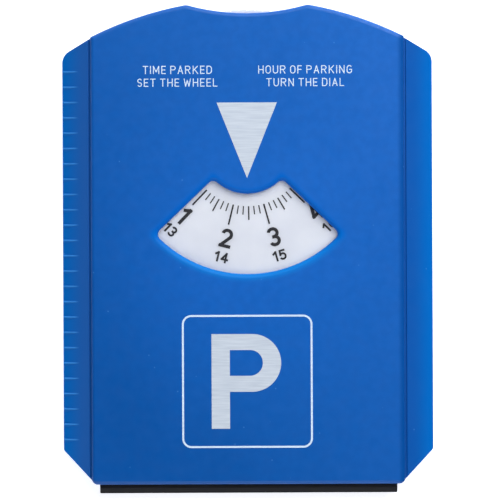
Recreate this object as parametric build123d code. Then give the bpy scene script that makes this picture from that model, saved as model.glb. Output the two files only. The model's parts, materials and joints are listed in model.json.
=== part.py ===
from build123d import *

import os
from math import atan2, cos, degrees, hypot, radians, sin, sqrt

# A hand-set parking disc with scraper edges and a rubber squeegee, in millimetres.
# It lies on its back: X runs across it, Y runs up its face, Z points out of its face.
# Z = 0 is the back face, and X = Y = 0 is the middle of its outline.

os.makedirs("parts", exist_ok=True)

# ---- outline ----
panel_width = 100.0       # the raised front cover, side to side
overall_length = 155.6    # squeegee lip to the two peaks beside the thumb notch
wing_reach = 9.0          # how far each scraper edge stands out past the cover
crown_radius = 110.8      # the bowed top edge
peak_spread = 38.6        # distance between the two peaks of the thumb notch
notch_depth = 2.7         # the thumb notch below the peaks
peak_rounding = 3.0
cover_foot_rounding = 2.0
cover_shoulder_rounding = 0.8
shoulder_drop = 0.4       # the scraper edges start this far below the cover's shoulder
shoulder_angle = 30.3     # slope of a scraper edge's upper end, in degrees
wing_top_rounding = 4.2
wing_foot_angle = 46.5    # slope of a scraper edge's lower end, in degrees
wing_foot_rise = 1.5      # that slope starts this far above the cover's bottom edge
wing_foot_rounding = 1.2

# ---- thicknesses ----
overall_thickness = 8.0
floor_thickness = 1.8
face_thickness = 2.0
side_wall = 1.6
parting_height = 4.2      # the cover meets the body at this height, inside the scraper edges
cover_edge_rounding = 1.3

# ---- scraper edges ----
wing_root_thickness = 6.4
wing_tip_thickness = 1.0
wing_tip_rounding = 0.3
wing_root_rounding = 0.35
groove_width = 0.4        # shadow line between cover and scraper edge
groove_depth = 0.65
tooth_pitch = 4.89
tooth_length = 5.4        # along X, from the tip inwards
tooth_height = 0.65       # at its outer end, above the bevel
tooth_lower_run = 1.15    # the long flank, along Y
tooth_upper_run = 0.28    # the steep flank, along Y
tooth_top_room = 5.2      # from the first tooth to the corner of the edge above it
tooth_foot_room = 3.3     # from the last tooth to the corner below it
tooth_sink = 0.2          # how far a tooth goes into the bevel
pocket_length = 8.2       # cored pockets behind each scraper edge
pocket_width = 4.2
pocket_rib = 1.58         # plastic left between two pockets
pocket_skin = 1.3         # plastic left in front of a pocket
pocket_root_room = 1.2    # from the cover's side to a pocket

# ---- dial ----
dial_side_room = 4.1      # between the dial and the cover's side wall
thumb_reach = 1.4         # how far the dial's rim stands out of the thumb notch
dial_gap = 0.3            # between the dial's face and the cover
dial_running_room = 0.5   # around the dial's rim
dial_web = 1.2
dial_rim_width = 3.0
dial_rim_depth = 3.5
dial_hub_radius = 7.2
dial_hub_depth = 3.6
dial_stiffener_radius = 15.0
dial_stiffener_depth = 2.0
dial_rim_chamfer = 0.3
rib_thickness = 1.0
rib_sink = 0.2            # how far a rib runs into the side wall
pivot_radius = 4.0
pivot_clearance = 0.05
pivot_socket_radius = 1.6
knurl_count = 108
knurl_depth = 0.45
knurl_width = 1.4
seat_clearance = 0.05
seat_width = 1.2          # the rings on the floor that carry the dial's hub and rim
hub_seat_inset = 0.6      # from the hub's side to its seat
rim_seat_inset = 1.2      # from the rim's side to its seat
drag_tongue_radius = 24.0  # the drag tongues press here, from the pivot
drag_tongue_length = 17.0
drag_tongue_width = 6.0
drag_tongue_slot = 0.9
drag_tongue_skin = 1.2
drag_tongue_relief = 0.2  # the tongues stand back from the back face
drag_nub_radius = 1.3
drag_nub_rounding = 0.8
drag_nub_clearance = 0.05
drag_nub_root = 0.4       # how far a nub's post is sunk into its tongue

# ---- dial scale ----
shown_hour = 2.468        # the time under the arrow, in hours
hours_on_dial = 12
steps_per_hour = 6        # one mark every ten minutes
rim_cover = 4.05          # from the window's lower arc to the dial's rim
scale_margin = 2.75       # from the window's lower arc to the small figures
small_figure_height = 3.35
figure_gap = 1.5          # between the two rings of figures
large_figure_height = 6.1
tick_gap = 1.3            # from the large figures to the hour marks
hour_tick_length = 6.6
half_hour_tick_length = 4.35
short_tick_length = 2.7
hour_tick_width = 0.5
half_hour_tick_width = 0.42
short_tick_width = 0.36
window_margin = 3.95      # from the marks to the window's upper arc
figure_weight = 0.17      # stroke over height
figure_width = 0.62       # width over height
small_figure_weight = 0.18
small_figure_width = 0.65
figure_tracking = 0.15    # between two figures of one number, over the height
figure_shift = 0.25       # the figures stand this far to the right of their marks

# ---- window ----
window_half_angle = 46.25
window_apex_rise = 0.6    # the window's sides meet this far above the pivot
window_corner = 1.9
window_edge_rounding = 1.5

# ---- foil print ----
print_thickness = 0.06
arrow_gap = 5.05          # from the arrow's tip to the window
arrow_height = 24.05
arrow_width = 19.2
arrow_x = -0.15
sign_top_room = 13.0      # from the window to the sign's border
sign_foot_room = 11.6     # from the sign's border to the cover's bottom edge
sign_width_share = 0.982  # the border's width over its height
sign_x = -0.3
sign_line = 0.6
sign_corner = 3.0
letter_share = 0.712      # the letter's height over the border's
letter_weight = 0.193     # the letter's stem over its height
letter_bowl_share = 0.61  # the bowl's height over the letter's
letter_width_share = 0.735
letter_x = -0.6
legend_height = 2.6
legend_weight = 0.112
legend_width = 0.66
legend_tracking = 0.6     # between two characters
legend_pitch = 4.05       # from one line to the next
legend_rise = 6.4         # from the arrow to the lower line's middle
left_legend_x = -22.2
right_legend_x = 18.5
left_legend = ("TIME PARKED", "SET THE WHEEL")
right_legend = ("HOUR OF PARKING", "TURN THE DIAL")
word_gap = 0.32           # a space, over the height

# ---- squeegee ----
squeegee_reach = 2.8      # below the cover
squeegee_side_room = 2.6  # from the cover's side to the blade's end
squeegee_thickness = 2.4
squeegee_lip = 1.1
squeegee_lip_rounding = 0.4
squeegee_taper = 1.6
squeegee_root = 7.0       # inside the casing
squeegee_bead = 1.5       # the thick inner edge, along Y
squeegee_bead_thickness = 3.2
squeegee_clearance = 0.1
peg_count = 5
peg_radius = 1.0
peg_clearance = 0.08

# ---- casing details ----
stud_radius = 1.5
stud_clearance = 0.06
stud_boss_radius = 3.2
stud_edge_room = 5.6      # from a stud's axis to the outline
stud_crown_room = 7.3     # from the upper studs to the cover's shoulder
stud_squeegee_room = 1.0  # from the lower studs' bosses to the squeegee
stud_head_radius = 2.4
stud_head_depth = 0.7
stud_head_rounding = 0.5
stud_head_recess = 0.2
stud_head_clearance = 0.25
foot_rib_x = 15.5
card_recess_width = 78.0
card_recess_height = 34.0
card_recess_depth = 0.4
card_recess_corner = 3.0
overshoot = 1.0           # cutting tools reach this far past a face

# ---- places that follow ----
panel_half = panel_width / 2
tip_x = panel_half + wing_reach
peak_x = peak_spread / 2
peak_y = overall_length / 2
lip_y = -overall_length / 2
foot_y = lip_y + squeegee_reach
crown_centre_y = peak_y - sqrt(crown_radius**2 - peak_x**2)
shoulder_y = crown_centre_y + sqrt(crown_radius**2 - panel_half**2)
notch_radius = (peak_x**2 + notch_depth**2) / (2 * notch_depth)
notch_y = peak_y - notch_depth
wing_shoulder_y = shoulder_y - shoulder_drop
wing_top_y = wing_shoulder_y - wing_reach * sin(radians(shoulder_angle)) / cos(radians(shoulder_angle))
wing_root_y = foot_y + wing_foot_rise
wing_foot_y = wing_root_y + wing_reach * sin(radians(wing_foot_angle)) / cos(radians(wing_foot_angle))
inner_face = overall_thickness - face_thickness
groove_z = wing_root_thickness - groove_depth

dial_radius = panel_half - side_wall - dial_side_room
dial_y = notch_y + thumb_reach - dial_radius
dial_top = inner_face - dial_gap
dial_web_z = dial_top - dial_web
dial_well_radius = dial_radius + dial_running_room

window_outer = dial_radius - rim_cover
small_figure_radius = window_outer - scale_margin - small_figure_height / 2
large_figure_radius = small_figure_radius - (small_figure_height + large_figure_height) / 2 - figure_gap
tick_outer = large_figure_radius - large_figure_height / 2 - tick_gap
tick_inner = tick_outer - hour_tick_length
window_inner = tick_inner - window_margin
window_foot_y = dial_y - window_outer

arrow_tip_y = dial_y - window_inner + arrow_gap
arrow_top_y = arrow_tip_y + arrow_height
sign_height = window_foot_y - foot_y - sign_top_room - sign_foot_room
sign_width = sign_width_share * sign_height
sign_y = foot_y + sign_foot_room + sign_height / 2

slot_half = panel_half - squeegee_side_room
slot_low = parting_height - squeegee_thickness / 2
slot_high = parting_height + squeegee_thickness / 2
ledge_y = foot_y + squeegee_root - squeegee_bead


def slab(face, low, high):
    """A flat face on XY, made solid between two heights."""
    return extrude(Pos(0, 0, low) * face, high - low)


def disc(x, y, radius):
    return Pos(x, y) * Circle(radius)


def ring(outer, inner):
    """A flat ring round the dial's axis."""
    return disc(0, dial_y, outer) - disc(0, dial_y, inner)


def bar(x0, y0, x1, y1):
    """A rectangle between two corners."""
    return Pos((x0 + x1) / 2, (y0 + y1) / 2) * Rectangle(abs(x1 - x0), abs(y1 - y0))


def write(name, shape):
    """Names a sub-part, writes its STEP file and returns it."""
    shape = Compound(children=list(shape.solids())) if len(shape.solids()) > 1 else shape.solid()
    shape.label = name
    export_step(shape, f"parts/{name}.step")
    return shape


# ---- outlines ----

def cover_outline(inset=0.0):
    """The cover's face, or the same shape a little inside it: straight sides, a bowed top
    and a thumb notch between two peaks."""
    half = panel_half - inset
    face = bar(-half, foot_y + inset, half, peak_y + overshoot)
    face &= disc(0, crown_centre_y, crown_radius - inset)
    face -= disc(0, notch_y + notch_radius, notch_radius + inset)
    face = fillet(face.vertices().filter_by(lambda v: v.Y < foot_y + inset + 0.01), cover_foot_rounding - inset)
    at_side = face.vertices().filter_by(lambda v: v.Y > 0 and abs(v.X) > half - 0.01)
    if inset < cover_shoulder_rounding:
        face = fillet(at_side, cover_shoulder_rounding - inset)
    peaks = face.vertices().filter_by(lambda v: v.Y > 0 and abs(v.X) < half - 5 * overshoot)
    return fillet(peaks, peak_rounding - inset)


def wing_outline():
    """The flat shape of both scraper edges, joined across the body."""
    points = [
        (tip_x, wing_foot_y),
        (panel_half, wing_root_y),
        (-panel_half, wing_root_y),
        (-tip_x, wing_foot_y),
        (-tip_x, wing_top_y),
        (-panel_half, wing_shoulder_y),
        (panel_half, wing_shoulder_y),
        (tip_x, wing_top_y),
    ]
    face = make_face(Polyline(*points, close=True))
    at_tip = face.vertices().filter_by(lambda v: abs(v.X) > tip_x - 0.01)
    face = fillet(at_tip.filter_by(lambda v: v.Y > 0), wing_top_rounding)
    at_tip = face.vertices().filter_by(lambda v: abs(v.X) > tip_x - 0.01)
    return fillet(at_tip.filter_by(lambda v: v.Y < 0 and v.Y < wing_foot_y + 0.01), wing_foot_rounding)


def window_outline():
    """The part ring that the window shows, with its sides meeting above the dial's axis."""
    apex = dial_y + window_apex_rise
    reach = 2 * window_outer
    wedge = make_face(Polyline(
        (0, apex),
        (reach * sin(radians(window_half_angle)), apex - reach * cos(radians(window_half_angle))),
        (-reach * sin(radians(window_half_angle)), apex - reach * cos(radians(window_half_angle))),
        close=True,
    ))
    face = ring(window_outer, window_inner) & wedge
    return fillet(face.vertices(), window_corner)


# ---- scraper edges ----

def bevel_height(x):
    """The bevel's height at a distance x from the middle of the body."""
    start = panel_half + groove_width
    share = (abs(x) - start) / (tip_x - start)
    return wing_root_thickness + share * (wing_tip_thickness - wing_root_thickness)


def wing_section():
    """The body's section across both scraper edges, on XZ."""
    right = [
        (tip_x, 0),
        (tip_x, wing_tip_thickness),
        (panel_half + groove_width, wing_root_thickness),
        (panel_half + groove_width, groove_z),
        (panel_half, groove_z),
        (panel_half, parting_height),
    ]
    left = [(-x, z) for x, z in reversed(right)]
    face = make_face(Polyline(*right, *left, close=True))
    tips = face.vertices().filter_by(lambda v: abs(v.X) > tip_x - 0.01 and v.Y > 0.01)
    face = fillet(tips, wing_tip_rounding)
    roots = face.vertices().filter_by(lambda v: v.Y > wing_root_thickness - 0.01)
    return Plane.XZ * fillet(roots, wing_root_rounding)


def tooth(y):
    """One ice-breaking tooth on the left bevel: a ridge that rises from nothing to its outer end."""
    outer_x = -tip_x + wing_tip_rounding
    inner_x = -tip_x + tooth_length
    outer_z, inner_z = bevel_height(outer_x), bevel_height(inner_x)
    root = Vector(inner_x, y, inner_z)
    crest = Vector(outer_x, y, outer_z + tooth_height)
    lower = Vector(outer_x, y - tooth_lower_run, outer_z)
    upper = Vector(outer_x, y + tooth_upper_run, outer_z)
    below = Vector(outer_x, y, outer_z - tooth_sink)
    under = Vector(inner_x, y, inner_z - tooth_sink)
    faces = [
        (root, crest, lower), (root, upper, crest), (crest, upper, below), (crest, below, lower),
        (root, lower, under), (lower, below, under), (root, under, upper), (upper, under, below),
    ]
    return Solid(Shell([Face(Wire.make_polygon(corners, close=True)) for corners in faces]))


def teeth():
    """The row of teeth, from just under the left edge's rounded top corner to its foot."""
    first = wing_top_y - tooth_top_room
    last = wing_foot_y + tooth_foot_room
    count = int((first - last) / tooth_pitch + 0.01) + 1
    return [tooth(first - index * tooth_pitch) for index in range(count)]


def wing_pockets():
    """Cored pockets in the back of both scraper edges, which keep the thick root from sinking."""
    pitch = pocket_length + pocket_rib
    count = int((wing_top_y - wing_root_y) / pitch) - 1
    middle = (wing_top_y + wing_foot_y) / 2
    near = panel_half + pocket_root_room
    far = near + pocket_width
    pockets = []
    for side in (-1, 1):
        section = Plane.XZ * make_face(Polyline(
            (side * near, -overshoot),
            (side * far, -overshoot),
            (side * far, bevel_height(far) - pocket_skin),
            (side * near, bevel_height(near) - pocket_skin),
            close=True,
        ))
        bar_along = extrude(section, overall_length, both=True)
        for index in range(count):
            y = middle + (index - (count - 1) / 2) * pitch
            pockets.append(bar_along & Pos(0, y, 0) * Box(4 * tip_x, pocket_length, 4 * overall_thickness))
    return pockets


# ---- places of studs and pegs ----

def stud_places():
    """Where the cover's studs go through the body: down both sides and across the foot."""
    side_x = panel_half - stud_edge_room
    upper_y = shoulder_y - stud_crown_room
    lower_y = ledge_y + squeegee_bead + stud_squeegee_room + stud_boss_radius
    well_foot = dial_y - dial_well_radius
    side_y = (lower_y + well_foot) / 2 + 2 * stud_boss_radius
    places = [(sign * side_x, y) for sign in (-1, 1) for y in (upper_y, side_y, lower_y)]
    return places + [(0, lower_y)]


def peg_places():
    spacing = 2 * slot_half / peg_count
    y = (foot_y + side_wall + ledge_y) / 2
    return [((index - (peg_count - 1) / 2) * spacing, y) for index in range(peg_count)]


def tongue_frames():
    """Three drag tongues round the dial's axis, each lying across a radius."""
    return [Pos(0, dial_y) * Rot(0, 0, angle) for angle in (90, 210, 330)]


# ---- body ----

def casing_ribs(low, high):
    """Ribs that stiffen the casing under the sign, the same in body and cover."""
    ring_wall = slab(ring(dial_well_radius + rib_thickness, dial_well_radius), low, high)
    inside = slab(cover_outline(side_wall - rib_sink), low, high)
    ribs = ring_wall & inside
    foot = ledge_y + squeegee_bead + squeegee_clearance
    for x in (-foot_rib_x, foot_rib_x):
        depth = sqrt(max(dial_well_radius**2 - x**2, 0))
        ribs += slab(bar(x - rib_thickness / 2, foot, x + rib_thickness / 2, dial_y - depth), low, high)
    return ribs


def drag_tongue_cuts():
    """Slots that free the three tongues from the body's floor, and thin them."""
    cuts = []
    for frame in tongue_frames():
        half = drag_tongue_width / 2
        base_x, end_x = -drag_tongue_length / 2, drag_tongue_length / 2
        tongue = bar(base_x, -half, end_x, half)
        slot = bar(base_x, -half - drag_tongue_slot, end_x + drag_tongue_slot, half + drag_tongue_slot) - tongue
        across = frame * Pos(0, drag_tongue_radius)
        cuts.append(slab(across * slot, -overshoot, floor_thickness + overshoot))
        cuts.append(slab(across * tongue, drag_tongue_skin, floor_thickness + overshoot))
        cuts.append(slab(across * tongue, -overshoot, drag_tongue_relief))
    return cuts


def dial_seat(outer, depth):
    """A ring on the floor that carries the dial's hub or rim, which is that deep below its face."""
    return slab(ring(outer, outer - seat_width), floor_thickness, dial_top - depth - seat_clearance)


def drag_nubs():
    """The rounded nub near each tongue's free end, which rubs the dial's underside."""
    nubs = []
    top = dial_web_z - drag_nub_clearance
    for frame in tongue_frames():
        x = drag_tongue_length / 2 - 2 * drag_nub_radius
        height = top - drag_tongue_skin + drag_nub_root
        post = Cylinder(drag_nub_radius, height, align=(Align.CENTER, Align.CENTER, Align.MAX))
        post = fillet(post.edges().filter_by(GeomType.CIRCLE).sort_by(Axis.Z)[-1], drag_nub_rounding)
        nubs.append(frame * Pos(x, drag_tongue_radius, top) * post)
    return nubs


def rear_body():
    """The tray: back wall, scraper edges, pivot, seats, ribs and stud bosses."""
    outline = cover_outline()
    tray = slab(outline, 0, parting_height)
    wings = extrude(wing_section(), 2 * overall_length, both=True) & slab(wing_outline(), 0, overall_thickness)
    body = tray + wings
    cavity = slab(cover_outline(side_wall), floor_thickness, parting_height + overshoot)
    well = slab(disc(0, dial_y, dial_well_radius), floor_thickness, parting_height + overshoot)
    body -= cavity + well
    body += casing_ribs(floor_thickness, parting_height)
    ledge = bar(-slot_half, foot_y + side_wall / 2, slot_half, ledge_y)
    body += slab(ledge, floor_thickness, slot_low)
    slot = bar(-slot_half - squeegee_clearance, foot_y - overshoot, slot_half + squeegee_clearance, ledge_y)
    body -= slab(slot, slot_low, parting_height + overshoot)
    for x, y in stud_places():
        body += slab(disc(x, y, stud_boss_radius), floor_thickness, parting_height)
    for x, y in peg_places():
        body += slab(disc(x, y, peg_radius), slot_low, slot_high)
    body += slab(disc(0, dial_y, pivot_radius), floor_thickness, inner_face)
    body += dial_seat(dial_hub_radius - hub_seat_inset, dial_hub_depth)
    body += dial_seat(dial_radius - rim_seat_inset, dial_rim_depth)
    body -= slab(disc(0, dial_y, pivot_socket_radius), floor_thickness, inner_face + overshoot)
    for x, y in stud_places():
        body -= slab(disc(x, y, stud_radius + stud_clearance), -overshoot, parting_height + overshoot)
        head = stud_head_radius + stud_head_clearance
        body -= slab(disc(x, y, head), -overshoot, stud_head_recess + stud_head_depth)
    body -= drag_tongue_cuts()
    body += drag_nubs()
    body += teeth()
    body -= wing_pockets()
    recess_y = (dial_y - dial_radius + ledge_y) / 2
    card = Pos(0, recess_y) * RectangleRounded(card_recess_width, card_recess_height, card_recess_corner)
    body -= slab(card, -overshoot, card_recess_depth)
    return body


# ---- cover ----

def front_cover():
    """The cover: face with its window, side walls, ribs, and the studs that go through the body."""
    outline = cover_outline()
    cover = slab(outline, parting_height, overall_thickness)
    cover = fillet(cover.faces().sort_by(Axis.Z)[-1].edges(), cover_edge_rounding)
    cavity = slab(cover_outline(side_wall), parting_height - overshoot, inner_face)
    well = slab(disc(0, dial_y, dial_well_radius), parting_height - overshoot, inner_face)
    cover -= cavity + well
    cover += casing_ribs(parting_height, inner_face)
    clamp = bar(-slot_half, foot_y + side_wall / 2, slot_half, ledge_y)
    cover += slab(clamp, slot_high, inner_face)
    slot = bar(-slot_half - squeegee_clearance, foot_y - overshoot, slot_half + squeegee_clearance, ledge_y)
    cover -= slab(slot, parting_height - overshoot, slot_high)
    window = slab(window_outline(), inner_face - overshoot, overall_thickness + overshoot)
    cover -= window
    rim = cover.faces().sort_by(Axis.Z)[-1].inner_wires()[0].edges()
    cover = fillet(rim, window_edge_rounding)
    for x, y in stud_places():
        cover += slab(disc(x, y, stud_boss_radius), parting_height, inner_face)
        cover += slab(disc(x, y, stud_radius), stud_head_recess, parting_height)
        head = slab(disc(x, y, stud_head_radius), stud_head_recess, stud_head_recess + stud_head_depth)
        head = fillet(head.edges().sort_by(Axis.Z)[0], stud_head_rounding)
        cover += head
    socket_floor = floor_thickness + overshoot / 2
    cover += slab(disc(0, dial_y, pivot_socket_radius - stud_clearance), socket_floor, inner_face)
    return cover


# ---- dial ----

def dial_disc():
    """The turning disc: thin web, deep knurled rim for the thumb, and a hub round the pivot."""
    web = slab(disc(0, dial_y, dial_radius), dial_web_z, dial_top)
    rim = slab(ring(dial_radius, dial_radius - dial_rim_width), dial_top - dial_rim_depth, dial_top)
    rim_edges = (web + rim).edges().filter_by(GeomType.CIRCLE)
    dial = chamfer(rim_edges.filter_by(lambda e: abs(e.radius - dial_radius) < 0.01), dial_rim_chamfer)
    bore = pivot_radius + pivot_clearance
    dial += slab(ring(dial_hub_radius, bore), dial_top - dial_hub_depth, dial_top)
    stiffener = ring(dial_stiffener_radius + rib_thickness / 2, dial_stiffener_radius - rib_thickness / 2)
    dial += slab(stiffener, dial_top - dial_stiffener_depth, dial_top)
    dial -= slab(disc(0, dial_y, bore), 0, overall_thickness)
    half = knurl_width / 2
    groove = make_face(Polyline(
        (dial_radius - knurl_depth, 0),
        (dial_radius + knurl_depth, half * 2),
        (dial_radius + knurl_depth, -half * 2),
        close=True,
    ))
    groove = slab(groove, 0, overall_thickness)
    step = 360 / knurl_count
    dial -= [Pos(0, dial_y) * Rot(0, 0, index * step) * groove for index in range(knurl_count)]
    return dial


# ---- squeegee ----

def squeegee_blade():
    """The rubber strip: a tapered lip, a root with peg holes, and a bead that can't pull out."""
    half = squeegee_thickness / 2
    bead = squeegee_bead_thickness / 2
    lip = squeegee_lip / 2
    middle = parting_height
    upper = [
        (lip_y, lip),
        (lip_y + squeegee_taper, half),
        (ledge_y + squeegee_clearance, half),
        (ledge_y + squeegee_clearance, bead),
        (ledge_y + squeegee_bead, bead),
    ]
    points = [(y, middle + z) for y, z in upper] + [(y, middle - z) for y, z in reversed(upper)]
    section = Plane.YZ * make_face(Polyline(*points, close=True))
    blade = extrude(section, slot_half, both=True)
    ends = blade.edges().filter_by(Axis.Z).filter_by(lambda e: e.center().Y < lip_y + 0.01)
    blade = fillet(ends, squeegee_lip_rounding)
    for x, y in peg_places():
        blade -= slab(disc(x, y, peg_radius + peg_clearance), 0, overall_thickness)
    return blade


# ---- lettering ----
# A character is drawn on a centre line inside a box of height h and half-width a, then thickened.
# "bar" gives two ends, and "arc" gives a centre, a radius, and its start and end angles in degrees.

def strokes(character, a, h):
    """The strokes of one character. The back of a 6 is an arc of radius spine that leaves the
    bowl upright and ends at the angle tail, over three quarters of the width, and a 9 is that
    turned half round."""
    b = h / 4
    c = h / 2
    spine = a * ((h / a - 1) ** 2 + 2.25) / 3
    tail = degrees(atan2(h - a, 1.5 * a - spine))
    table = {
        "0": [("arc", a, h - a, a, 0, 180), ("arc", a, a, a, 180, 360), ("bar", 0, a, 0, h - a),
              ("bar", 2 * a, a, 2 * a, h - a)],
        "1": [("bar", 1.2 * a, 0, 1.2 * a, h), ("bar", 1.2 * a, h, 0.2 * a, h - 0.75 * a)],
        "2": [("arc", a, h - a, a, -35, 170), ("bar", a + a * cos(radians(35)), h - a - a * sin(radians(35)), 0, 0),
              ("bar", 0, 0, 2 * a, 0)],
        "3": [("arc", 2 * a - b, h - b, b, -90, 90), ("bar", b, h, 2 * a - b, h), ("arc", b, h - b, b, 90, 160),
              ("bar", a, c, 2 * a - b, c), ("arc", 2 * a - b, b, b, -90, 90), ("bar", b, 0, 2 * a - b, 0),
              ("arc", b, b, b, 200, 270)],
        "4": [("bar", 1.4 * a, 0, 1.4 * a, h), ("bar", 1.4 * a, h, -0.15 * a, 0.3 * h),
              ("bar", -0.15 * a, 0.3 * h, 2.1 * a, 0.3 * h)],
        "5": [("bar", 0.2 * a, h, 1.85 * a, h), ("bar", 0.2 * a, h, 0.05 * a, 0.5 * h),
              ("arc", 0.95 * a, 1.3 * b, 1.3 * b, -155, 130)],
        "6": [("arc", a, a, a, 0, 360), ("arc", spine, a, spine, tail, 180)],
        "7": [("bar", 0, h, 2 * a, h), ("bar", 2 * a, h, 0.7 * a, 0)],
        "8": [("arc", a, h - b, b, 0, 360), ("arc", a, b * 1.04, b * 1.04, 0, 360)],
        "9": [("arc", a, h - a, a, 0, 360), ("arc", 2 * a - spine, h - a, spine, 180 + tail, 360)],
        "A": [("bar", 0, 0, a, h), ("bar", a, h, 2 * a, 0), ("bar", 0.35 * a, 0.32 * h, 1.65 * a, 0.32 * h)],
        "D": [("bar", 0, 0, 0, h), ("bar", 0, h, a * 0.9, h), ("bar", 0, 0, a * 0.9, 0),
              ("arc", a * 0.9, h - a * 1.1, a * 1.1, 0, 90), ("arc", a * 0.9, a * 1.1, a * 1.1, 270, 360),
              ("bar", 2 * a, a * 1.1, 2 * a, h - a * 1.1)],
        "E": [("bar", 0, 0, 0, h), ("bar", 0, h, 1.6 * a, h), ("bar", 0, c, 1.4 * a, c), ("bar", 0, 0, 1.6 * a, 0)],
        "F": [("bar", 0, 0, 0, h), ("bar", 0, h, 1.6 * a, h), ("bar", 0, c, 1.4 * a, c)],
        "G": [("arc", a, h - a, a, 30, 180), ("bar", 0, a, 0, h - a), ("arc", a, a, a, 180, 360),
              ("bar", 2 * a, a, 2 * a, 0.48 * h), ("bar", 2 * a, 0.48 * h, 1.1 * a, 0.48 * h)],
        "H": [("bar", 0, 0, 0, h), ("bar", 2 * a, 0, 2 * a, h), ("bar", 0, c, 2 * a, c)],
        "I": [("bar", a, 0, a, h)],
        "K": [("bar", 0, 0, 0, h), ("bar", 0, 0.38 * h, 1.9 * a, h), ("bar", 0.6 * a, 0.56 * h, 2 * a, 0)],
        "L": [("bar", 0, h, 0, 0), ("bar", 0, 0, 1.6 * a, 0)],
        "M": [("bar", -0.2 * a, 0, -0.2 * a, h), ("bar", -0.2 * a, h, a, 0.25 * h), ("bar", a, 0.25 * h, 2.2 * a, h),
              ("bar", 2.2 * a, h, 2.2 * a, 0)],
        "N": [("bar", 0, 0, 0, h), ("bar", 0, h, 2 * a, 0), ("bar", 2 * a, 0, 2 * a, h)],
        "O": [("arc", a, h - a, a, 0, 180), ("arc", a, a, a, 180, 360), ("bar", 0, a, 0, h - a),
              ("bar", 2 * a, a, 2 * a, h - a)],
        "P": [("bar", 0, 0, 0, h), ("bar", 0, h, 2 * a - b, h), ("bar", 0, c, 2 * a - b, c),
              ("arc", 2 * a - b, h - b, b, -90, 90)],
        "R": [("bar", 0, 0, 0, h), ("bar", 0, h, 2 * a - b, h), ("bar", 0, c, 2 * a - b, c),
              ("arc", 2 * a - b, h - b, b, -90, 90), ("bar", a, c, 2 * a, 0)],
        "S": [("arc", a, h - b, b, 20, 270), ("arc", a, b, b, -160, 90)],
        "T": [("bar", 0, h, 2 * a, h), ("bar", a, 0, a, h)],
        "U": [("bar", 0, h, 0, a), ("arc", a, a, a, 180, 360), ("bar", 2 * a, a, 2 * a, h)],
        "W": [("bar", -0.4 * a, h, 0.25 * a, 0), ("bar", 0.25 * a, 0, a, 0.8 * h), ("bar", a, 0.8 * h, 1.75 * a, 0),
              ("bar", 1.75 * a, 0, 2.4 * a, h)],
    }
    return table[character]


def thick_stroke(stroke, weight):
    """One straight or round stroke as a flat face. A straight one has square ends."""
    if stroke[0] == "bar":
        x0, y0, x1, y1 = stroke[1:]
        length = hypot(x1 - x0, y1 - y0) + weight
        turn = degrees(atan2(y1 - y0, x1 - x0))
        return Pos((x0 + x1) / 2, (y0 + y1) / 2) * Rot(0, 0, turn) * Rectangle(length, weight)
    x, y, radius, start, end = stroke[1:]
    if end - start >= 360:
        return Pos(x, y) * (Circle(radius + weight / 2) - Circle(radius - weight / 2))
    return Pos(x, y) * trace(CenterArc((0, 0), radius, start, end - start), weight)


def character_face(character, height, weight, width_share):
    """A character that stands on the X axis with its left side at X = 0, and its width."""
    thickness = weight * height
    half = (width_share * height - thickness) / 2
    rise = height - thickness
    face = Sketch() + [thick_stroke(s, thickness) for s in strokes(character, half, rise)]
    face &= bar(-height, -thickness / 2, 2 * height, rise + thickness / 2)
    box = face.bounding_box()
    return Pos(-box.min.X, thickness / 2) * face, box.size.X


def text_face(words, height, weight, width_share, tracking):
    """A line of characters, centred on the origin."""
    parts = []
    x = 0.0
    for character in words:
        if character == " ":
            x += word_gap * height
            continue
        face, width = character_face(character, height, weight, width_share)
        parts.append(Pos(x, -height / 2) * face)
        x += width + tracking
    shift = Pos(-(x - tracking) / 2, 0)
    return [shift * part for part in parts]


def on_cover(faces):
    """Foil on the cover's face."""
    return [slab(face, overall_thickness, overall_thickness + print_thickness) for face in faces]


def on_dial(faces):
    """Ink on the dial's face."""
    return [slab(face, dial_top, dial_top + print_thickness) for face in faces]


def together(shapes):
    """Separate solids as one node."""
    return Compound(children=[solid for shape in shapes for solid in shape.solids()])


# ---- foil on the cover ----

def arrival_arrow():
    half = arrow_width / 2
    face = make_face(Polyline((0, arrow_tip_y), (half, arrow_top_y), (-half, arrow_top_y), close=True))
    return on_cover([Pos(arrow_x, 0) * face])


def sign_border():
    outer = RectangleRounded(sign_width, sign_height, sign_corner)
    inner = RectangleRounded(sign_width - 2 * sign_line, sign_height - 2 * sign_line, sign_corner - sign_line)
    return on_cover([Pos(sign_x, sign_y) * (outer - inner)])


def parking_letter():
    """The letter P of the usual parking sign: a stem, and a bowl that ends in a half circle."""
    height = letter_share * sign_height
    stem = letter_weight * height
    bowl = letter_bowl_share * height
    width = letter_width_share * height
    left, low = letter_x - width / 2, sign_y - height / 2
    outer_radius, counter = bowl / 2, bowl - 1.75 * stem
    bowl_y = low + height - outer_radius
    outer_x = left + width - outer_radius
    inner_x = left + width - stem - counter / 2
    face = bar(left, low, left + stem, low + height)
    face += bar(left, low + height - bowl, outer_x, low + height)
    face += disc(outer_x, bowl_y, outer_radius)
    face -= bar(left + stem, bowl_y - counter / 2, inner_x, bowl_y + counter / 2)
    face -= disc(inner_x, bowl_y, counter / 2)
    return on_cover([face])


def legend(lines, x):
    faces = []
    for row, words in enumerate(lines):
        y = arrow_top_y + legend_rise + (len(lines) - 1 - row) * legend_pitch
        line = text_face(words, legend_height, legend_weight, legend_width, legend_tracking)
        faces += [Pos(x, y) * face for face in line]
    return on_cover(faces)


# ---- ink on the dial ----

def at_hour(hour):
    """A frame on the dial's axis whose -Y runs out through an hour mark."""
    return Pos(0, dial_y) * Rot(0, 0, (hour - shown_hour) * 360 / hours_on_dial)


def tick_kind(step):
    """0 for an hour mark, 1 for a half-hour mark, 2 for any other."""
    if step % steps_per_hour == 0:
        return 0
    return 1 if step % steps_per_hour == steps_per_hour // 2 else 2


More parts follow.
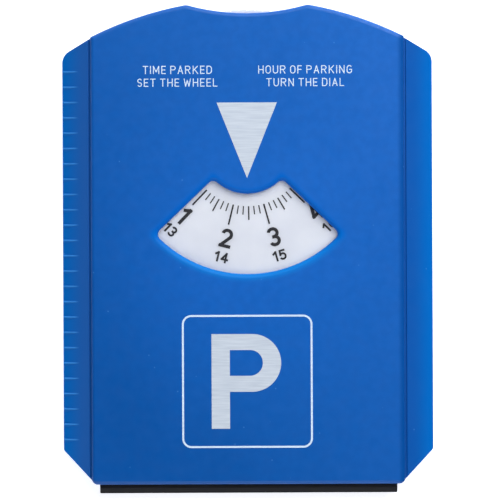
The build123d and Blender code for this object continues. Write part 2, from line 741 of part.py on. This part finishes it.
def ticks(kind, length, width):
    """All marks of one kind, each a bar that starts at the inner edge of the scale."""
    mark = Pos(0, -tick_inner - length / 2) * Rectangle(width, length)
    steps = range(hours_on_dial * steps_per_hour)
    return on_dial([at_hour(step / steps_per_hour) * mark for step in steps if tick_kind(step) == kind])


def figures(first, radius, height, weight, width_share):
    """Twelve hour figures on a ring, their heads towards the pivot."""
    faces = []
    for hour in range(hours_on_dial):
        frame = at_hour(hour + 1) * Pos(figure_shift, -radius)
        line = text_face(str(first + hour), height, weight, width_share, figure_tracking * height)
        faces += [frame * face for face in line]
    return on_dial(faces)


write("rear_body", rear_body())
write("front_cover", front_cover())
write("dial_disc", dial_disc())
write("squeegee_blade", squeegee_blade())
write("arrival_arrow", together(arrival_arrow()))
write("sign_border", together(sign_border()))
write("parking_letter", together(parking_letter()))
write("legend_left", together(legend(left_legend, left_legend_x)))
write("legend_right", together(legend(right_legend, right_legend_x)))
write("dial_hour_marks", together(ticks(0, hour_tick_length, hour_tick_width)))
write("dial_half_hour_marks", together(ticks(1, half_hour_tick_length, half_hour_tick_width)))
write("dial_ten_minute_marks", together(ticks(2, short_tick_length, short_tick_width)))
write("dial_figures_1_to_12", together(
    figures(1, large_figure_radius, large_figure_height, figure_weight, figure_width)))
write("dial_figures_13_to_24", together(
    figures(13, small_figure_radius, small_figure_height, small_figure_weight, small_figure_width)))
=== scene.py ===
"""A hand-set parking disc with scraper edges and a rubber squeegee, lying face up on a pale table.
Metres, in the frame of the CAD part: X across the disc, Y up its face to the thumb notch, and Z
out of its face."""
import json
from math import cos, radians, sin

import bpy
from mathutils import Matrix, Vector


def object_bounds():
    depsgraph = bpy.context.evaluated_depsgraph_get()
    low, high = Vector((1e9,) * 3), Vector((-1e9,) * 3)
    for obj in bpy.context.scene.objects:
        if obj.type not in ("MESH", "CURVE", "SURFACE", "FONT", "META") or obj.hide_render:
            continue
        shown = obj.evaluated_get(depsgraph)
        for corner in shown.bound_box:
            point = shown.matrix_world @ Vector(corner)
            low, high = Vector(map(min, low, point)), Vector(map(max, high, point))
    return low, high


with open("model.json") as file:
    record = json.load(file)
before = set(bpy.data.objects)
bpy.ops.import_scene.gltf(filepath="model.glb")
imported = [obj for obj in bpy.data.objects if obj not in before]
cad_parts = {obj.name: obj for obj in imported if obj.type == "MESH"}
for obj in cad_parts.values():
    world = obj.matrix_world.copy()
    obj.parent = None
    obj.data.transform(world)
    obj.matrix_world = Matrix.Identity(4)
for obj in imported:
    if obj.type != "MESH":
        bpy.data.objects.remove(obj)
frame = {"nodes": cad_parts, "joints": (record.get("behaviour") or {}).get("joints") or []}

cad_low, cad_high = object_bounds()
MM = 0.001


def linear(hex_colour):
    """An sRGB hex value as linear RGBA."""
    parts = [int(hex_colour[i:i + 2], 16) / 255 for i in (1, 3, 5)]
    return [c / 12.92 if c <= 0.04045 else ((c + 0.055) / 1.055) ** 2.4 for c in parts] + [1.0]


def add(tree, kind, inputs=None, output=0, **properties):
    """Adds a node and gives the output asked for, or several for a slice. An input, by its name
    or place, takes a constant or another node's output."""
    node = tree.nodes.new(kind)
    for name, value in properties.items():
        setattr(node, name, value)
    for key, value in (inputs or {}).items():
        if isinstance(value, bpy.types.NodeSocket):
            tree.links.new(value, node.inputs[key])
        else:
            node.inputs[key].default_value = value
    return node.outputs[output]


def new_material(name):
    """An empty material, its node tree, and its object coordinates in metres."""
    material = bpy.data.materials.new(name)
    material.use_nodes = True
    tree = material.node_tree
    tree.nodes.clear()
    return material, tree, add(tree, "ShaderNodeTexCoord", output="Object")


def finish_material(tree, shader):
    """Links the finished shader to the material's output."""
    surface = tree.nodes.new("ShaderNodeOutputMaterial").inputs["Surface"]
    tree.links.new(shader, surface)


def calc(tree, operation, *terms):
    """One step of arithmetic on constants and nodes' outputs."""
    return add(tree, "ShaderNodeMath", dict(enumerate(terms)), operation=operation)


def ease(tree, value, start, end, low=0.0, high=1.0):
    """A smooth step from low to high while the value goes from start to end."""
    inputs = {0: value, 1: start, 2: end, 3: low, 4: high}
    return add(tree, "ShaderNodeMapRange", inputs, interpolation_type="SMOOTHSTEP")


def blend_colour(tree, share, a, b):
    """Colour a with the given share of it replaced by colour b."""
    return add(tree, "ShaderNodeMix", {0: share, 6: a, 7: b}, output=2, data_type="RGBA")


def mottle(tree, place, size, detail=2.0, stretch=(1, 1, 1)):
    """Noise between 0 and 1 whose blotches are about the given size across, in metres, or longer
    along an axis whose stretch is below 1."""
    scaled = add(tree, "ShaderNodeMapping", {"Vector": place, "Scale": stretch})
    return add(tree, "ShaderNodeTexNoise", {"Vector": scaled, "Scale": 1 / size, "Detail": detail})


def bumps(tree, height, depth, below=None):
    """The normal over a height between 0 and 1 that stands for a depth in metres."""
    inputs = {"Height": height, "Distance": depth, "Strength": 1.0}
    if below is not None:
        inputs["Normal"] = below
    return add(tree, "ShaderNodeBump", inputs)


def dress(material, *names):
    """Gives the named CAD nodes a material."""
    for name in names:
        node = frame["nodes"][name]
        node.data.materials.clear()
        node.data.materials.append(material)


# ---- blue polystyrene ----
# The cover's window, which is part of a ring round the dial's pivot, between two straight sides.
PIVOT_Y = frame["joints"][0]["pos_m"][1]
WINDOW_OUTER = 40.25 * MM
WINDOW_INNER = 14.7 * MM
WINDOW_APEX = 0.6 * MM  # above the pivot, where its two sides would meet
WINDOW_HALF_ANGLE = radians(46.25)

# The scraper edges, from root to tip, and the teeth on the left one.
EDGE_ROOT = 50.4 * MM
EDGE_SLOPE = EDGE_ROOT + 1.5 * MM  # where it starts to thin towards its tip
EDGE_TIP = 59.0 * MM
FIRST_TOOTH_Y = 56.71 * MM
TOOTH_PITCH = 4.89 * MM
TOOTH_COUNT = 25
LAST_TOOTH_Y = FIRST_TOOTH_Y - (TOOTH_COUNT - 1) * TOOTH_PITCH
TEETH_END_X = -53.6 * MM

PALE_MIDDLE_REACH = 70 * MM  # how far the paler blue spreads from the disc's middle
FLOW_WIDTH = 28 * MM
GLOSS = 0.18  # strength of the surface's reflections, below the usual 0.5
TIP_GLOSS = 0.06


def hypotenuse(tree, a, b):
    """The root of a squared plus b squared."""
    squares = [calc(tree, "MULTIPLY", side, side) for side in (a, b)]
    return calc(tree, "SQRT", calc(tree, "ADD", *squares))


def window_distance(tree, x, y):
    """How far a point of the cover is outside the window, which is the part of a ring round the
    pivot between two sides that meet just above it."""
    dy = calc(tree, "SUBTRACT", y, PIVOT_Y)
    radius = hypotenuse(tree, x, dy)
    past_outer = calc(tree, "SUBTRACT", radius, WINDOW_OUTER)
    past_inner = calc(tree, "SUBTRACT", WINDOW_INNER, radius)
    across = calc(tree, "MULTIPLY", calc(tree, "ABSOLUTE", x), cos(WINDOW_HALF_ANGLE))
    along = calc(tree, "MULTIPLY", calc(tree, "SUBTRACT", dy, WINDOW_APEX), sin(WINDOW_HALF_ANGLE))
    past_side = calc(tree, "MAXIMUM", calc(tree, "ADD", across, along), 0.0)
    past_arc = calc(tree, "MAXIMUM", calc(tree, "MAXIMUM", past_outer, past_inner), 0.0)
    return hypotenuse(tree, past_side, past_arc)


def moulded_blue_and_painted_light(tree, place, x, y):
    """The plastic's colour with light painted into it: paler towards the upper right, as if lit by
    the key lamp there, and paler towards the disc's middle, with flow marks.
    """
    # Painted light: the blue pales towards the upper right, as if the key lamp there lit it.
    painted_light_slant = calc(tree, "ADD", calc(tree, "MULTIPLY", x, 0.6), calc(tree, "MULTIPLY", y, 0.4))
    colour = blend_colour(tree, ease(tree, painted_light_slant, -50 * MM, 60 * MM), linear("#024f9d"), linear("#1c65bf"))
    # Paler towards the disc's middle.
    from_middle = add(tree, "ShaderNodeVectorMath", {0: place}, output=1, operation="LENGTH")
    paler_middle = ease(tree, from_middle, 0.0, PALE_MIDDLE_REACH, 0.5, 0.0)
    colour = blend_colour(tree, paler_middle, colour, linear("#156bd0"))
    flow = mottle(tree, place, FLOW_WIDTH, 3.0, (1.0, 0.5, 1.0))
    colour = blend_colour(tree, ease(tree, flow, 0.3, 0.75, 0.0, 0.35), colour, linear("#0a5ab0"))
    cloud = mottle(tree, place, 2.5 * MM, 5.0)
    return blend_colour(tree, ease(tree, cloud, 0.3, 0.7, 0.0, 0.14), colour, linear("#003f8c"))


def scraper_painted_light(tree, x, colour):
    """Over the scraper edges: painted shade at the root, paler and redder on the left than on the
    right as painted light falling differently on the two slopes, and a painted glow at the thin tip.
    """
    aside = calc(tree, "ABSOLUTE", x)
    right_side = calc(tree, "GREATER_THAN", x, 0.0)
    # Painted shade at the roots by the grooves. The left root is paler and redder than the right: painted
    # light for two slopes that the lamps light differently.
    root = blend_colour(tree, right_side, linear("#1d5aa9"), linear("#004e9f"))
    root_shade_share = ease(tree, aside, EDGE_ROOT - 0.1 * MM, EDGE_ROOT, 0.0, 0.8)
    colour = blend_colour(tree, root_shade_share, colour, root)
    # Painted glow: a clearer blue towards the thin tip, for light passing through it.
    colour = blend_colour(tree, ease(tree, aside, EDGE_SLOPE, EDGE_TIP), colour, linear("#0063b9"))
    return colour, ease(tree, aside, EDGE_SLOPE, EDGE_TIP, GLOSS, TIP_GLOSS)


def painted_cover_edge_light(tree, x, y, colour, gloss):
    """Painted shade where the cover's sides turn down into the grooves, and a painted glow of
    clear blue round the window, with a painted highlight along its lower rim."""
    # Painted shade on the cover's sides as they turn down into the grooves.
    right_groove_shade = ease(tree, x, EDGE_ROOT - 3 * MM, EDGE_ROOT - 0.6 * MM)
    left_groove_shade = ease(tree, x, -EDGE_ROOT + 0.2 * MM, -EDGE_ROOT + 1.3 * MM, 0.8, 0.0)
    roll = calc(tree, "MAXIMUM", right_groove_shade, left_groove_shade)
    colour = blend_colour(tree, calc(tree, "MULTIPLY", roll, 0.75), colour, linear("#003e84"))
    gloss = calc(tree, "MULTIPLY", gloss, ease(tree, roll, 0.0, 1.0, 1.0, 0.1))
    # Painted glow round the window, for light through the thin plastic there, and a painted highlight
    # along the lower rim, which faces the key lamp.
    lower_rim_highlight = ease(tree, y, -5 * MM, 8 * MM, 1.0, 0.0)
    glow = blend_colour(tree, lower_rim_highlight, linear("#0060c0"), linear("#0678d0"))
    rim = ease(tree, window_distance(tree, x, y), 0.4 * MM, 3.0 * MM, 1.0, 0.0)
    colour = blend_colour(tree, rim, colour, glow)
    return colour, calc(tree, "MULTIPLY", gloss, ease(tree, rim, 0.2, 1.0, 1.0, 0.35))


def painted_crest_highlights(tree, x, y, colour):
    """Pale lines along the crests of the teeth: painted highlights where the crests catch the light."""
    row = calc(tree, "PINGPONG", calc(tree, "SUBTRACT", y, FIRST_TOOTH_Y), TOOTH_PITCH / 2)
    on_row = ease(tree, row, 0.1 * MM, 0.4 * MM, 0.6, 0.0)
    above_last = calc(tree, "GREATER_THAN", y, LAST_TOOTH_Y - MM)
    below_first = calc(tree, "LESS_THAN", y, FIRST_TOOTH_Y + MM)
    in_reach = ease(tree, x, TEETH_END_X - 2 * MM, TEETH_END_X, 1.0, 0.0)
    on_teeth = calc(tree, "MULTIPLY", on_row, in_reach)
    on_teeth = calc(tree, "MULTIPLY", on_teeth, calc(tree, "MULTIPLY", above_last, below_first))
    # Painted highlight on each crest.
    return blend_colour(tree, on_teeth, colour, linear("#3f97e4"))


def blue_polystyrene(name, with_window):
    """Satin blue moulding with a fine moulded skin, slow waves and a little dust, with painted light
    in its colour: painted shade and glow on the scraper edges, painted shade by the grooves and a
    painted glow round the window on the cover, and painted highlights on the crests of the body's teeth."""
    material, tree, place = new_material(name)
    x, y, _ = add(tree, "ShaderNodeSeparateXYZ", {0: place}, output=slice(0, 3))
    colour, gloss = scraper_painted_light(tree, x, moulded_blue_and_painted_light(tree, place, x, y))
    if with_window:
        colour, gloss = painted_cover_edge_light(tree, x, y, colour, gloss)
    else:
        colour = painted_crest_highlights(tree, x, y, colour)
    dust = add(tree, "ShaderNodeTexVoronoi", {"Vector": place, "Scale": 1 / (6 * MM)})
    speck = ease(tree, dust, 0.02, 0.05, 0.35, 0.0)
    colour = blend_colour(tree, speck, colour, linear("#5c9fe0"))
    skin = mottle(tree, place, 0.35 * MM, 2.0)
    wave = mottle(tree, place, 9 * MM, 1.0)
    normal = bumps(tree, skin, 0.004 * MM, bumps(tree, wave, 0.03 * MM))
    roughness = ease(tree, mottle(tree, place, 4 * MM, 4.0), 0.2, 0.8, 0.3, 0.4)
    shader = add(tree, "ShaderNodeBsdfPrincipled", {
        "Base Color": colour, "Roughness": roughness, "IOR": 1.55, "Specular IOR Level": gloss,
        "Normal": normal})
    finish_material(tree, shader)
    return material


def white_polystyrene():
    """The dial: bluish white, matt, a little light passes into it and softens shadows on it."""
    material, tree, place = new_material("moulded_white_polystyrene")
    cloud = mottle(tree, place, 20 * MM, 3.0)
    colour = blend_colour(tree, ease(tree, cloud, 0.3, 0.7), linear("#d8ddeb"), linear("#e1e6f3"))
    grain = mottle(tree, place, 0.3 * MM, 2.0)
    shader = add(tree, "ShaderNodeBsdfPrincipled", {
        "Base Color": colour, "Roughness": ease(tree, cloud, 0.3, 0.7, 0.42, 0.5), "IOR": 1.5,
        "Subsurface Weight": 0.8, "Subsurface Scale": 2.5 * MM, "Subsurface Radius": (1.0, 1.0, 1.0),
        "Normal": bumps(tree, grain, 0.004 * MM)})
    finish_material(tree, shader)
    return material


def stamped_foil(name, dull, bright):
    """Silvery white hot-stamped foil: fine lines left by the roller, and small thin spots."""
    material, tree, place = new_material(name)
    lines = mottle(tree, place, 0.5 * MM, 2.0, (0.06, 1.0, 1.0))
    spots = mottle(tree, place, 1.2 * MM, 4.0)
    colour = blend_colour(tree, ease(tree, lines, 0.3, 0.7), linear(dull), linear(bright))
    colour = blend_colour(tree, ease(tree, spots, 0.64, 0.8, 0.0, 0.3), colour, linear("#9db8dc"))
    shader = add(tree, "ShaderNodeBsdfPrincipled", {
        "Base Color": colour, "Metallic": 0.1, "IOR": 1.5,
        "Roughness": ease(tree, lines, 0.3, 0.7, 0.35, 0.5), "Normal": bumps(tree, lines, 0.002 * MM)})
    finish_material(tree, shader)
    return material


def printed_ink():
    """Black screen print on the dial, a little uneven where the ink is thin."""
    material, tree, place = new_material("screen_printed_black_ink")
    thin = mottle(tree, place, 0.4 * MM, 3.0)
    colour = blend_colour(tree, ease(tree, thin, 0.35, 0.75), linear("#15161c"), linear("#2a2b34"))
    shader = add(tree, "ShaderNodeBsdfPrincipled", {
        "Base Color": colour, "IOR": 1.45, "Roughness": ease(tree, thin, 0.3, 0.7, 0.45, 0.6)})
    finish_material(tree, shader)
    return material


def black_rubber():
    """Extruded rubber: fine lines along its length, a dull bloom, and dust in its pores."""
    material, tree, place = new_material("extruded_black_rubber")
    lines = mottle(tree, place, 0.25 * MM, 2.0, (0.02, 1.0, 1.0))
    bloom = mottle(tree, place, 5 * MM, 4.0)
    colour = blend_colour(tree, ease(tree, bloom, 0.3, 0.75), linear("#0e0f13"), linear("#1a1b22"))
    colour = blend_colour(tree, ease(tree, lines, 0.55, 0.8, 0.0, 0.35), colour, linear("#3a3b44"))
    pores = mottle(tree, place, 0.15 * MM, 2.0)
    normal = bumps(tree, lines, 0.012 * MM, bumps(tree, pores, 0.008 * MM))
    shader = add(tree, "ShaderNodeBsdfPrincipled", {
        "Base Color": colour, "IOR": 1.5, "Specular IOR Level": 0.22,
        "Roughness": ease(tree, bloom, 0.3, 0.7, 0.55, 0.7), "Normal": normal})
    finish_material(tree, shader)
    return material


dress(blue_polystyrene("moulded_blue_polystyrene_cover", True), "front_cover")
dress(blue_polystyrene("moulded_blue_polystyrene_body", False), "rear_body")
dress(white_polystyrene(), "dial_disc")
dress(black_rubber(), "squeegee_blade")
broad_foil = stamped_foil("hot_stamped_silver_white_foil", "#bec9d8", "#cbd5e2")
dress(broad_foil, "arrival_arrow", "parking_letter")
# The border and the words get a paler copy of the foil: painted glints, for light catching the
# edges of these thin lines.
fine_foil_painted_glint = stamped_foil("hot_stamped_foil_fine_lines_painted_glint", "#cce0f6", "#d8ebff")
dress(fine_foil_painted_glint, "sign_border", "legend_left", "legend_right")
dress(printed_ink(), "dial_hour_marks", "dial_half_hour_marks", "dial_ten_minute_marks",
      "dial_figures_1_to_12", "dial_figures_13_to_24")


# ---- table ----
TABLE_RADIUS = 8.0  # wide enough to have no edge in view
TABLE_GAP = 0.02 * MM  # keeps the table's top clear of the disc's back face
TABLE_GLOW = 0.62  # light from below


def pale_table():
    """A plain white table top that is lit a little from below, so that shadows on it stay pale.
    It is clear from underneath, which leaves the disc's back in view from there."""
    material, tree, place = new_material("translucent_white_table_top")
    haze = mottle(tree, place, 0.4, 1.0)
    colour = blend_colour(tree, haze, linear("#f4f4f5"), linear("#f7f7f8"))
    shader = add(tree, "ShaderNodeBsdfPrincipled", {
        "Base Color": colour, "Roughness": 0.9, "IOR": 1.3,
        "Emission Color": linear("#fbfcff"), "Emission Strength": TABLE_GLOW})
    underneath = add(tree, "ShaderNodeNewGeometry", output="Backfacing")
    clear = add(tree, "ShaderNodeBsdfTransparent")
    finish_material(tree, add(tree, "ShaderNodeMixShader", {0: underneath, 1: shader, 2: clear}))
    return material


bpy.ops.mesh.primitive_circle_add(
    vertices=128, radius=TABLE_RADIUS, fill_type="NGON", location=(0, 0, -TABLE_GAP))
table = bpy.context.active_object
table.name = "table"
table.data.materials.append(pale_table())


# ---- light ----

def softbox(name, place, size, watts):
    """A round lamp with a wide soft face, turned towards the disc's middle."""
    data = bpy.data.lights.new(name, "AREA")
    data.shape = "DISK"
    data.size = size
    data.energy = watts
    lamp = bpy.data.objects.new(name, data)
    bpy.context.scene.collection.objects.link(lamp)
    lamp.location = place
    lamp.rotation_mode = "QUATERNION"
    lamp.rotation_quaternion = (-Vector(place)).to_track_quat("-Z", "Y")
    lamp.visible_camera = False


softbox("key_softbox", (0.34, 0.66, 0.70), 1.2, 13)
softbox("fill_softbox", (-0.20, -0.80, 0.80), 0.9, 4.2)

# The room is pale near the floor and dark overhead, so the flat face mirrors only the dark part.
# Dark screens stand to the left and right, for the same reason on the slopes of the scraper edges.
world = bpy.data.worlds.new("studio")
world.use_nodes = True
bpy.context.scene.world = world
room = world.node_tree
room.nodes.clear()
direction = add(room, "ShaderNodeTexCoord", output="Generated")
across, _, height = add(room, "ShaderNodeSeparateXYZ", {0: direction}, output=slice(0, 3))
overhead = ease(room, height, 0.25, 0.97, 1.15, 0.02)
screen = ease(room, calc(room, "ABSOLUTE", across), 0.45, 0.8, 1.0, 0.12)
strength = calc(room, "MULTIPLY", overhead, screen)
background = add(room, "ShaderNodeBackground", {"Color": linear("#fbfcff"), "Strength": strength})
room.links.new(background, room.nodes.new("ShaderNodeOutputWorld").inputs["Surface"])

# ---- camera ----
WIDTH_SHARE = 0.7386  # of the view's width that the disc takes
DISTANCE = 2.4
OFF_CENTRE = (0.71 * MM, -0.40 * MM)
ROLL = radians(-0.24)
SENSOR = 36.0
view_width = (cad_high.x - cad_low.x) / WIDTH_SHARE
camera_data = bpy.data.cameras.new("camera")
camera_data.sensor_width = SENSOR
camera_data.lens = SENSOR * DISTANCE / view_width
camera = bpy.data.objects.new("camera", camera_data)
bpy.context.scene.collection.objects.link(camera)
camera.location = (*OFF_CENTRE, DISTANCE)
camera.rotation_euler = (0, 0, ROLL)
bpy.context.scene.camera = camera
bpy.context.scene.view_settings.view_transform = "Standard"
